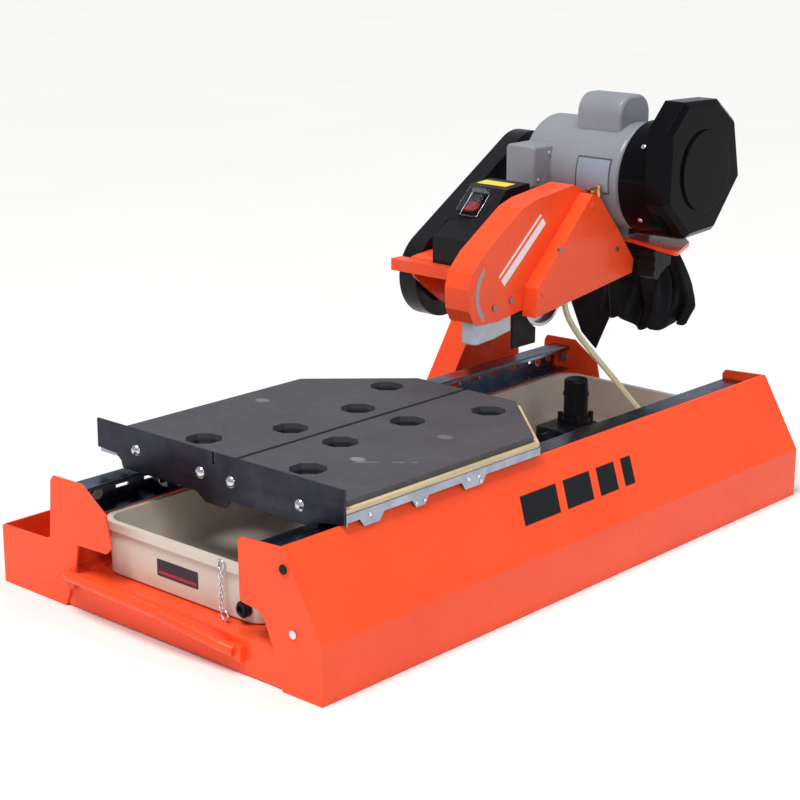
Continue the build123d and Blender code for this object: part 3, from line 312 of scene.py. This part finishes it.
def pad_rubber():
    """Speckled grey mat: fine flecks, worn ovals and faint ruled lines."""
    look = Look("speckled_mat")
    x, y, z = look.axes()
    drift = look.spread(look.noise(9, 6, rough=0.7), 0.3, 0.7, 0, 1)
    body = look.mix(drift, (0.044, 0.045, 0.056), (0.068, 0.068, 0.078))
    body = look.mix(look.spread(look.noise(1500, 2), 0.56, 0.72, 0, 0.6), body, (0.17, 0.165, 0.17))
    body = look.mix(look.spread(look.noise(1100, 2), 0.6, 0.75, 0, 0.7), body, (0.018, 0.018, 0.022))
    for cx, cy, rx, ry, strength in WORN_OVALS:
        spot = at(cx, cy, 213)
        dx = look.maths("DIVIDE", look.maths("SUBTRACT", x, spot.x), rx * MM)
        dy = look.maths("DIVIDE", look.maths("SUBTRACT", y, spot.y), ry * MM)
        far = look.maths("ADD", look.maths("MULTIPLY", dx, dx), look.maths("MULTIPLY", dy, dy))
        body = look.mix(look.spread(far, 0.55, 1.15, strength, 0), body, (0.34, 0.33, 0.35))
    dashes = look.spread(look.noise(60, 1, (1, 0.05, 0.05)), 0.45, 0.55, 0, 0.6)
    right = look.maths("MULTIPLY", look.within(look.maths("SUBTRACT", y, look.maths("MULTIPLY", x, 0.9)),
                                               (243 - ORIGIN_Y) * MM - 0.137, (243 - ORIGIN_Y) * MM - 0.1355),
                       look.within(x, 0.14, 0.2))
    body = look.mix(look.maths("MULTIPLY", right, dashes), body, (0.5, 0.5, 0.52))
    left = look.maths("MULTIPLY", look.within(look.maths("ADD", y, look.maths("MULTIPLY", x, 1.13)),
                                              (150 - ORIGIN_Y) * MM - 0.0394, (150 - ORIGIN_Y) * MM - 0.0379),
                      look.within(x, -0.19, -0.034))
    dark_dashes = look.maths("MULTIPLY", left, look.maths("MULTIPLY", dashes, 0.9))
    body = look.mix(dark_dashes, body, (0.02, 0.02, 0.025))
    look.paint(body)
    look.rough(look.noise(50, 5), 0.55, 0.8)
    look.relief((look.noise(1300, 3), 0.00025, 0.5), (look.noise(16, 3), 0.0008, 0.12), rounding=0.0012)
    return look


KERF_X = 16.6
TABLE_HOLES = ((98.0, 172.0), (47.0, 285.0), (47.0, 420.0), (97.0, 536.0))  # across from the kerf, back


def sealed_board():
    """Tan sealed board, with long grain, darker end layers and painted shade on the hole walls."""
    look = Look("sealed_board", Coat_Weight=0.1)
    grain = look.noise(120, 6, (1, 0.05, 1), 0.65)
    body = look.mix(look.spread(grain, 0.35, 0.65, 0, 1), (0.72, 0.58, 0.37), (0.55, 0.42, 0.25))
    layers = look.noise(700, 2, (0.02, 0.02, 1))
    body = look.mix(look.spread(layers, 0.45, 0.6, 0, 0.5), body, (0.44, 0.33, 0.2))
    x, y, _ = look.axes()
    for dx, spot_y in TABLE_HOLES:
        for side in (-1, 1):
            spot = at(KERF_X + side * dx, spot_y, 200)
            ax, ay = look.maths("SUBTRACT", x, spot.x), look.maths("SUBTRACT", y, spot.y)
            far = look.hypotenuse(ax, ay)
            # painted shade: the walls of each table hole are coloured deep navy
            body = look.mix(look.spread(far, 0.029, 0.031, 1, 0), body, (0.012, 0.014, 0.024))
    look.paint(body)
    look.rough(grain, 0.45, 0.65)
    look.relief((grain, 0.0002, 0.4))
    return look


def tray_beige():
    """Moulded tray: cream plastic with a blotchy mark that darkens it towards the floor."""
    look = Look("beige_water_tray", Subsurface_Weight=0.05)
    _, _, z = look.axes()
    body = look.mix(look.spread(look.noise(8, 6), 0.3, 0.7, 0, 1), (0.68, 0.615, 0.54), (0.62, 0.555, 0.48))
    # the colour darkens below about 85 mm up, broken up by noise
    near_floor = look.spread(z, 0.05, 0.085, 0.4, 0)
    low = look.maths("MULTIPLY", near_floor, look.spread(look.noise(25, 6), 0.4, 0.65, 0.2, 1))
    look.paint(look.mix(low, body, (0.55, 0.44, 0.33)))
    look.rough(look.noise(45, 5), 0.32, 0.5)
    look.relief((look.noise(750, 3), 0.0001, 0.4), (look.noise(15, 3), 0.0012, 0.15))
    return look


def rocker_look():
    """Rocker: red half and black half."""
    look = Look("rocker_red_black", Coat_Weight=0.3)
    _, y, _ = look.axes()
    lo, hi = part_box("switch_rocker")
    side = look.spread(y, (lo.y + hi.y) / 2 - 0.001, (lo.y + hi.y) / 2 + 0.001, 0, 1)
    drift = look.spread(look.noise(60, 4), 0.3, 0.7, 0, 1)
    stained = look.mix(drift, (0.45, 0.015, 0.02), (0.36, 0.01, 0.015))
    look.paint(look.mix(side, stained, (0.02, 0.02, 0.022)))
    look.rough(look.noise(80, 4), 0.2, 0.35)
    look.relief((look.noise(900, 2), 0.00005, 0.3))
    return look


printed_panel = panel_orange()
printed_guard = guard_orange()
mat_rubber = pad_rubber()
board = sealed_board()
tray_look = tray_beige()
rocker = rocker_look()

FINISHES = (
    (orange, "left_side_channel front_right_plate front_left_plate rear_end_plates head_post arm_weldment "
             "spindle_housing side_cover motor_base_plate cross_members rail_brackets lift_handle"),
    (printed_panel, "right_side_panel"),
    (printed_guard, "blade_guard"),
    (black_coat, "switch_bracket belt_guard roller_brackets"),
    (black_oxide, "pivot_shaft shaft_bearings"),
    (zinc, "cart_tray"),
    (rail_zinc_painted_shade, "left_rail right_rail"),
    (dark_zinc, "fence"),
    (screw_grey, "guard_screws"),
    (bright, "frame_bolts cart_bolts tray_chain roller_front_left roller_rear_left "
             "roller_front_right roller_rear_right arbor_nut"),
    (turned_steel, "arbor_shaft blade_flanges spindle_pulley motor_pulley motor_rotor"),
    (laminations, "motor_stator"),
    (motor_coat, "motor_shell conduit_box capacitor_cover"),
    (gloss_black, "motor_end_cover"),
    (tray_look, "water_tray"),
    (black_moulded, "pump_housing pump_can pump_impeller drain_plug lock_knob switch_box"),
    (rocker, "switch_rocker"),
    (clear, "switch_cover"),
    (mat_rubber, "table_pads"),
    (board, "cart_board"),
    (pale_rubber, "guard_flap"),
    (black_rubber, "guard_skirt splash_curtain drive_belt"),
    (brass, "water_valve valve_lever"),
    (hose_look, "hose"),
)
for look, names in FINISHES:
    for name in names.split():
        slots = NODES[name].data.materials
        slots.clear()
        slots.append(look.material)


# ---------------------------------------------------------------- mesh helpers


def from_bmesh(name, bm, look, smooth=True):
    bmesh.ops.recalc_face_normals(bm, faces=bm.faces)
    mesh = bpy.data.meshes.new(name)
    bm.to_mesh(mesh)
    bm.free()
    made = bpy.data.objects.new(name, mesh)
    bpy.context.scene.collection.objects.link(made)
    mesh.materials.append(look.material)
    for face in mesh.polygons:
        face.use_smooth = smooth
    return made


def apply_modifiers(made):
    """Bakes the modifiers into the mesh, so that the piece is final."""
    bpy.context.view_layer.update()
    graph = bpy.context.evaluated_depsgraph_get()
    mesh = bpy.data.meshes.new_from_object(made.evaluated_get(graph))
    made.modifiers.clear()
    made.data = mesh
    return made


def grid_sheet(name, columns, rows, point, look, thickness):
    """A sheet whose vertex at (u, v), each from 0 to 1, lies at point(u, v), given real thickness."""
    bm = bmesh.new()
    net = [[bm.verts.new(point(c / columns, r / rows)) for c in range(columns + 1)] for r in range(rows + 1)]
    for r in range(rows):
        for c in range(columns):
            bm.faces.new((net[r][c], net[r][c + 1], net[r + 1][c + 1], net[r + 1][c]))
    made = from_bmesh(name, bm, look)
    solid = made.modifiers.new("thickness", "SOLIDIFY")
    solid.thickness = thickness
    solid.offset = 0
    return apply_modifiers(made)


def rounded_plate(name, width, height, thick, radius, look, bevel=0.0004):
    """A thin plate in its own xy plane, with rounded corners and softened edges, standing on z = 0."""
    bm = bmesh.new()
    corner_steps = 6
    ring = []
    for cx, cy, turn in ((1, 1, 0), (-1, 1, 90), (-1, -1, 180), (1, -1, 270)):
        for step in range(corner_steps + 1):
            angle = math.radians(turn + 90 * step / corner_steps)
            ring.append(bm.verts.new((cx * (width / 2 - radius) + radius * math.cos(angle),
                                      cy * (height / 2 - radius) + radius * math.sin(angle), 0)))
    face = bm.faces.new(ring)
    up = bmesh.ops.extrude_face_region(bm, geom=[face])
    lid = [v for v in up["geom"] if isinstance(v, bmesh.types.BMVert)]
    bmesh.ops.translate(bm, verts=lid, vec=(0, 0, thick))
    made = from_bmesh(name, bm, look, smooth=False)
    soft = made.modifiers.new("soft", "BEVEL")
    soft.width = bevel
    soft.segments = 2
    soft.limit_method = "ANGLE"
    return apply_modifiers(made)


def pan_screw(name, radius, height, look, slots=4):
    """A cross-recessed pan-head screw standing on z = 0: a turned dome with a cut recess."""
    bm = bmesh.new()
    rings, around = [], 32
    for share, rise in ((1.0, 0.0), (1.0, 0.45), (0.93, 0.72), (0.72, 0.92), (0.45, 1.0), (0.22, 1.0)):
        rings.append([bm.verts.new((radius * share * math.cos(2 * math.pi * k / around),
                                    radius * share * math.sin(2 * math.pi * k / around), height * rise))
                      for k in range(around)])
    for low, high in zip(rings, rings[1:]):
        for k in range(around):
            bm.faces.new((low[k], low[(k + 1) % around], high[(k + 1) % around], high[k]))
    floor = []
    for k in range(around):
        lobe = 0.42 if (k * slots / around) % 1 < 0.26 else 0.2
        floor.append(bm.verts.new((radius * lobe * math.cos(2 * math.pi * k / around),
                                   radius * lobe * math.sin(2 * math.pi * k / around), height * 0.45)))
    for k in range(around):
        bm.faces.new((rings[-1][k], rings[-1][(k + 1) % around], floor[(k + 1) % around], floor[k]))
    bm.faces.new(floor)
    bm.faces.new(list(reversed(rings[0])))
    return from_bmesh(name, bm, look)


def stand(made, place, normal, up=(0, 0, 1)):
    """Puts a piece's own z axis along normal, with its own y axis as near as can be to up."""
    out = Vector(normal).normalized()
    side = Vector(up).cross(out).normalized()
    top = out.cross(side)
    turn = Matrix((side, top, out)).transposed().to_4x4()
    made.data.transform(Matrix.Translation(place) @ turn)
    return made


# ---------------------------------------------------------------- water hose

HOSE_DIAMETER = 0.009
hose_route = [
    at(*p) for p in (
        (45, 796, 345), (45, 796, 310), (54, 816, 269), (72, 847, 226), (98, 867, 188), (122, 884, 152),
        (143, 898, 124), (153, 882, 98), (146, 850, 88), (116, 830, 95.8), (87, 830, 95.8),
    )
]
hose = bpy.data.curves.new("water_hose", "CURVE")
hose.dimensions = "3D"
spline = hose.splines.new("NURBS")
spline.points.add(len(hose_route) - 1)
for point, place in zip(spline.points, hose_route):
    point.co = (*place, 1)
spline.order_u = 3
spline.use_endpoint_u = True
spline.resolution_u = 16
hose_line = bpy.data.objects.new("water_hose_line", hose)
bpy.context.scene.collection.objects.link(hose_line)
bpy.context.view_layer.update()
line_mesh = bpy.data.meshes.new_from_object(hose_line)
hose_path = [v.co.copy() for v in line_mesh.vertices]


def tube_along(name, path, radius, look, around=20, wave=0.0):
    """A tube that follows path, with frames carried along so that it never twists."""
    bm = bmesh.new()
    rings = []
    normal = Vector((1, 0, 0))
    for k, place in enumerate(path):
        ahead = (path[min(k + 1, len(path) - 1)] - path[max(k - 1, 0)]).normalized()
        normal = (normal - ahead * normal.dot(ahead)).normalized()
        other = ahead.cross(normal)
        size = radius * (1 + wave * noise.noise(place * 60))
        rings.append([bm.verts.new(place + size * (math.cos(a) * normal + math.sin(a) * other))
                      for a in (2 * math.pi * j / around for j in range(around))])
    for low, high in zip(rings, rings[1:]):
        for j in range(around):
            bm.faces.new((low[j], low[(j + 1) % around], high[(j + 1) % around], high[j]))
    bm.faces.new(rings[0])
    bm.faces.new(list(reversed(rings[-1])))
    return from_bmesh(name, bm, look)


water_hose = tube_along("water_hose_tube", hose_path, HOSE_DIAMETER / 2, hose_look, wave=0.02)
bpy.data.objects.remove(hose_line)
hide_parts("hose")
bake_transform(water_hose)

# ---------------------------------------------------------------- splash curtain and guard flap

CURTAIN_THICK = 0.003
CURTAIN_TOP = 389.0


def curtain_point(u, v):
    """The bunched half: deep hanging folds that widen to the right and end in a ragged lower edge."""
    widest = 0.78  # the share of the drop at which it is widest
    flare = math.sin(min(v, widest) / widest * math.pi / 2) * (1 - 0.25 * max(0, v - widest) / 0.22)
    left, right = -57 + v, 76 + 58 * flare
    x = left + (right - left) * u
    lower = 238 + 8 * math.sin(u * 9.5) + 5 * math.sin(u * 23 + 1) + (22 * max(0, u - 0.86) / 0.14)
    z = CURTAIN_TOP - (CURTAIN_TOP - lower) * v
    depth = 3.5 + 13.5 * min(1.0, v * 1.7)
    fold = math.sin(u * 19 + 1.4 * math.sin(v * 2.6 + u * 3)) + 0.35 * math.sin(u * 43 + v * 4)
    wander = 3.0 * noise.noise(Vector((u * 6, v * 5, 2.0)))
    y = 1032 + depth * fold / 1.35 + wander * v
    x += 3.0 * math.cos(u * 19) * min(1.0, v * 1.5) * math.sin(math.pi * u)
    return at(x, max(1012.5, min(1054, y)), z)


def flap_point(u, v):
    """The flat half: a plain strip that narrows and curls slightly towards its lower edge."""
    left = -129 + 22 * max(0.0, v - 0.75) / 0.25
    right = -44 - 32 * max(0.0, v - 0.66) / 0.34
    x = left + (right - left) * u
    lower = 200 - 24 * u
    z = CURTAIN_TOP - (CURTAIN_TOP - lower) * v
    y = 1053.6 - 0.6 * math.sin(u * 4 + v * 5) * v
    return at(x, y, z)


curtain = grid_sheet("splash_curtain_folds", 150, 60, curtain_point, black_rubber, CURTAIN_THICK)
curtain_flap = grid_sheet("splash_curtain_flap", 24, 48, flap_point, black_rubber, CURTAIN_THICK)
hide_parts("splash_curtain")
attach(curtain, "head")
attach(curtain_flap, "head")


def spray_flap_point(u, v):
    """A strip bent round the guard's mouth: back along one wall, across the front, back along the other."""
    low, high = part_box("guard_flap")
    half = 0.0013
    left, right, front, back = low.x + half + 0.012, high.x - half, low.y + half + 0.006, high.y - half
    bend = 0.009
    side = (back - front) - bend
    across = (right - left) - 2 * bend
    arc = bend * math.pi / 2
    travel = u * (2 * side + across + 2 * arc)
    if travel < side:
        x, y = right, back - travel
    elif travel < side + arc:
        a = (travel - side) / bend
        x, y = right - bend + bend * math.cos(a), front + bend - bend * math.sin(a)
    elif travel < side + arc + across:
        x, y = right - bend - (travel - side - arc), front
    elif travel < side + 2 * arc + across:
        a = (travel - side - arc - across) / bend
        x, y = left + bend - bend * math.sin(a), front + bend - bend * math.cos(a)
    else:
        x, y = left, front + bend + (travel - side - 2 * arc - across)
    sway = (y - front) / (back - front)
    bottom = low.z + 0.0015 + 0.009 * sway * sway
    z = high.z - (high.z - bottom) * v
    if y < front + 0.02:
        y += 0.004 * v * (1 - (y - front) / 0.02)
    inward = 0.0012 * math.sin(y * 90 + v * 5) * v
    x += inward if x < (left + right) / 2 else -abs(inward)
    return Vector((x, y, z))


spray_flap = grid_sheet("guard_spray_flap", 110, 24, spray_flap_point, pale_rubber, 0.0024)
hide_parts("guard_flap")
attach(spray_flap, "head")

# ---------------------------------------------------------------- small fitted pieces


def add(made, body):
    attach(made, body)
    return made


plate_look = moulded("rating_plate", (0.27, 0.32, 0.41), (0.22, 0.27, 0.35), (0.3, 0.45))
plate_edge = moulded("rating_plate_border", (0.05, 0.055, 0.07), (0.08, 0.085, 0.1), (0.3, 0.45))

SHELL_RADIUS = 0.083
MOTOR_AXIS = at(0, 956, 494)


def wrapped_plate(name, x0, x1, a0, a1, lift, thick, look):
    """A thin plate curved round the motor shell, between two angles from straight up, in degrees."""
    bm = bmesh.new()
    columns, rows = 14, 10
    layers = []
    for extra in (lift, lift + thick):
        net = []
        for r in range(rows + 1):
            angle = math.radians(a0 + (a1 - a0) * r / rows)
            radius = SHELL_RADIUS + extra
            net.append([bm.verts.new((x0 + (x1 - x0) * c / columns, MOTOR_AXIS.y - radius * math.sin(angle),
                                      MOTOR_AXIS.z + radius * math.cos(angle))) for c in range(columns + 1)])
        layers.append(net)
    inner, outer = layers
    for r in range(rows):
        for c in range(columns):
            bm.faces.new((outer[r][c], outer[r][c + 1], outer[r + 1][c + 1], outer[r + 1][c]))
            bm.faces.new((inner[r + 1][c], inner[r + 1][c + 1], inner[r][c + 1], inner[r][c]))
    for c in range(columns):
        bm.faces.new((inner[0][c], inner[0][c + 1], outer[0][c + 1], outer[0][c]))
        bm.faces.new((outer[rows][c], outer[rows][c + 1], inner[rows][c + 1], inner[rows][c]))
    for r in range(rows):
        bm.faces.new((outer[r][0], outer[r + 1][0], inner[r + 1][0], inner[r][0]))
        bm.faces.new((inner[r][columns], inner[r + 1][columns], outer[r + 1][columns], outer[r][columns]))
    return from_bmesh(name, bm, look, smooth=False)


add(wrapped_plate("motor_plate_border", 0.004, 0.068, 66, 104, 0.0001, 0.0005, plate_edge),
    "head")
add(wrapped_plate("motor_plate", 0.0065, 0.0655, 68, 102, 0.0003, 0.0007, plate_look), "head")

SKIRT_SURFACE = 0.0876  # just inside the end cover's skirt, from the motor's axis
for index, degrees in enumerate((-38, 40)):
    screw = pan_screw(f"end_cover_screw_{index}", 0.0042, 0.0022, bright)
    angle = math.radians(degrees)
    place = MOTOR_AXIS + Vector((0.118, -SKIRT_SURFACE * math.cos(angle), SKIRT_SURFACE * math.sin(angle)))
    stand(screw, place, (0, -math.cos(angle), math.sin(angle)), (1, 0, 0))
    add(screw, "head")

cover_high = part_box("side_cover")[1]
for index, (y, z) in enumerate(((722, 344), (838, 462))):
    screw = pan_screw(f"side_cover_rivet_{index}", 0.0045, 0.0016, orange)
    place = at(0, y, z)
    place.x = cover_high.x - 0.0001
    add(stand(screw, place, (1, 0, 0)), "head")

box_low, box_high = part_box("conduit_box")
box_mid = (box_low + box_high) / 2
seam = rounded_plate("conduit_lid_seam", box_high.y - box_low.y - 0.006, box_high.z - box_low.z - 0.008,
                     0.0012, 0.004, motor_coat)
stand(seam, Vector((box_high.x - 0.0002, box_mid.y, box_mid.z)), (1, 0, 0))
add(seam, "head")
for index, (y, z) in enumerate(((0.25, 0.2), (0.75, 0.8))):
    screw = pan_screw(f"conduit_lid_screw_{index}", 0.0032, 0.0016, bright)
    place = Vector((box_high.x + 0.0009, box_low.y + (box_high.y - box_low.y) * y,
                    box_low.z + (box_high.z - box_low.z) * z))
    add(stand(screw, place, (1, 0, 0)), "head")

switch_low, switch_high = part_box("switch_box")
label = rounded_plate("switch_label", 0.058, 0.024, 0.0004, 0.002, yellow, 0.0001)
label_place = Vector((switch_low.x + 0.034, at(0, 766, 0).y, switch_high.z - 0.0015))
add(stand(label, label_place, (0, -0.0714, 1), (0, 1, 0)), "head")


cart_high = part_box("cart_tray")[1]
for index, (y, z) in enumerate(((144, 190), (230, 183), (246, 183), (332, 190), (352, 190), (357, 182))):
    screw = pan_screw(f"skirt_screw_{index}", 0.0029, 0.0014, bright)
    add(stand(screw, Vector((cart_high.x, at(0, y, z).y, z * MM)), (1, 0, 0)), "cart")

label_dark = moulded("tray_label_dark", (0.012, 0.012, 0.03), (0.02, 0.02, 0.04), (0.3, 0.45))
label_red = moulded("tray_label_red", (0.42, 0.02, 0.03), (0.36, 0.015, 0.025), (0.3, 0.45))
TRAY_FACE_Y = 35.0  # the tray's front wall below its rolled rim
label = rounded_plate("tray_label", 0.078, 0.023, 0.0004, 0.0015, label_dark, 0.0001)
add(stand(label, at(14.5, TRAY_FACE_Y, 83), (0, -1, 0)), "frame")
stripe = rounded_plate("tray_label_stripe", 0.072, 0.004, 0.0003, 0.0012, label_red, 0.0001)
add(stand(stripe, at(14.5, TRAY_FACE_Y - 0.4, 77), (0, -1, 0)), "frame")

bolts_low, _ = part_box("frame_bolts")
socket_screw = pan_screw("panel_socket_screw", 0.0062, 0.0022, black_moulded)
stand(socket_screw, Vector((0.244, bolts_low.y + 0.0008, 0.158)), (0, -1, 0))
add(socket_screw, "frame")


def weld_bead(name, path, size, look):
    """A hand-laid weld: a rippled bead along path."""
    fine = []
    for a, b in zip(path, path[1:]):
        steps = max(2, int((b - a).length / 0.0012))
        fine += [a.lerp(b, k / steps) for k in range(steps)]
    fine.append(path[-1])
    bm = bmesh.new()
    rings, around = [], 10
    normal = Vector((0, 0, 1))
    for k, place in enumerate(fine):
        ahead = (fine[min(k + 1, len(fine) - 1)] - fine[max(k - 1, 0)]).normalized()
        side = ahead.cross(Vector((0.3, 0.5, 0.81))).normalized()
        normal = side.cross(ahead)
        radius = size * (1 + 0.16 * math.sin(k * 1.7) + 0.1 * noise.noise(place * 400))
        rings.append([bm.verts.new(place + radius * (math.cos(t) * side + math.sin(t) * normal))
                      for t in (2 * math.pi * j / around for j in range(around))])
    for a, b in zip(rings, rings[1:]):
        for j in range(around):
            bm.faces.new((a[j], a[(j + 1) % around], b[(j + 1) % around], b[j]))
    bm.faces.new(rings[0])
    bm.faces.new(list(reversed(rings[-1])))
    return from_bmesh(name, bm, look)


for index, x in enumerate((-144, -18)):
    add(weld_bead(f"arm_deck_weld_{index}", [at(x + 5, 690, 384.2), at(x + 5, 780, 390.0)], 0.0016, orange),
        "head")

# ---------------------------------------------------------------- floor, light and camera

floor_look = Look("studio_floor", Roughness=0.65)
floor_drift = floor_look.spread(floor_look.noise(1.5, 2), 0.3, 0.7, 0, 1)
floor_look.paint(floor_look.mix(floor_drift, (0.90, 0.90, 0.90), (0.88, 0.88, 0.885)))
bm = bmesh.new()
bmesh.ops.create_grid(bm, x_segments=8, y_segments=8, size=30)
floor = from_bmesh("studio_floor", bm, floor_look)
floor.location.z = -0.0005

world = bpy.data.worlds.new("studio")
world.use_nodes = True
sky = world.node_tree
shade = sky.nodes["Background"]
shade.inputs["Color"].default_value = (0.86, 0.92, 1.0, 1)
shade.inputs["Strength"].default_value = 0.46
seen = sky.nodes.new("ShaderNodeBackground")
seen.inputs["Color"].default_value = (1, 1, 1, 1)
seen.inputs["Strength"].default_value = 1.0
rays = sky.nodes.new("ShaderNodeLightPath")
either = sky.nodes.new("ShaderNodeMixShader")
sky.links.new(rays.outputs["Is Camera Ray"], either.inputs[0])
sky.links.new(shade.outputs[0], either.inputs[1])
sky.links.new(seen.outputs[0], either.inputs[2])
sky.links.new(either.outputs[0], sky.nodes["World Output"].inputs["Surface"])
bpy.context.scene.world = world
bpy.context.scene.view_settings.view_transform = "Standard"

key = bpy.data.lights.new("key_sun", "SUN")
key.energy = 2.5
key.angle = math.radians(24)
key.color = (1.0, 0.95, 0.87)
key_light = bpy.data.objects.new("key_sun", key)
bpy.context.scene.collection.objects.link(key_light)
key_light.rotation_euler = Vector((-0.02, -0.40, 0.91)).to_track_quat("Z", "Y").to_euler()


def softbox(name, place, target, size, power):
    light = bpy.data.lights.new(name, "AREA")
    light.shape = "RECTANGLE"
    light.size, light.size_y = size
    light.energy = power
    made = bpy.data.objects.new(name, light)
    bpy.context.scene.collection.objects.link(made)
    made.location = place
    made.rotation_euler = (Vector(target) - Vector(place)).to_track_quat("-Z", "Y").to_euler()


softbox("strip_right", (2.2, -1.2, 1.6), (0.1, 0.4, 0.45), (0.35, 1.2), 16)
softbox("top_soft", (0.5, 0.6, 2.4), (0.1, 0.4, 0.5), (0.9, 0.5), 8)

AZIMUTH, ELEVATION, ROLL = (math.radians(a) for a in (41.817, 15.703, 0.239))
level = math.cos(ELEVATION)
back = Vector((math.sin(AZIMUTH) * level, -math.cos(AZIMUTH) * level, math.sin(ELEVATION)))
right = (-back).cross(Vector((0, 0, 1))).normalized()
up = back.cross(right)
rolled_right = right * math.cos(ROLL) + up * math.sin(ROLL)
rolled_up = up * math.cos(ROLL) - right * math.sin(ROLL)
lens = bpy.data.cameras.new("photo_camera")
lens.sensor_width = 36
lens.lens = 84.78
lens.clip_start = 0.05
camera = bpy.data.objects.new("photo_camera", lens)
bpy.context.scene.collection.objects.link(camera)
camera.matrix_world = Matrix((
    (rolled_right.x, rolled_up.x, back.x, 1.72727),
    (rolled_right.y, rolled_up.y, back.y, -1.975995),
    (rolled_right.z, rolled_up.z, back.z, 0.94775),
    (0, 0, 0, 1),
))
bpy.context.scene.camera = camera

bpy.context.view_layer.update()
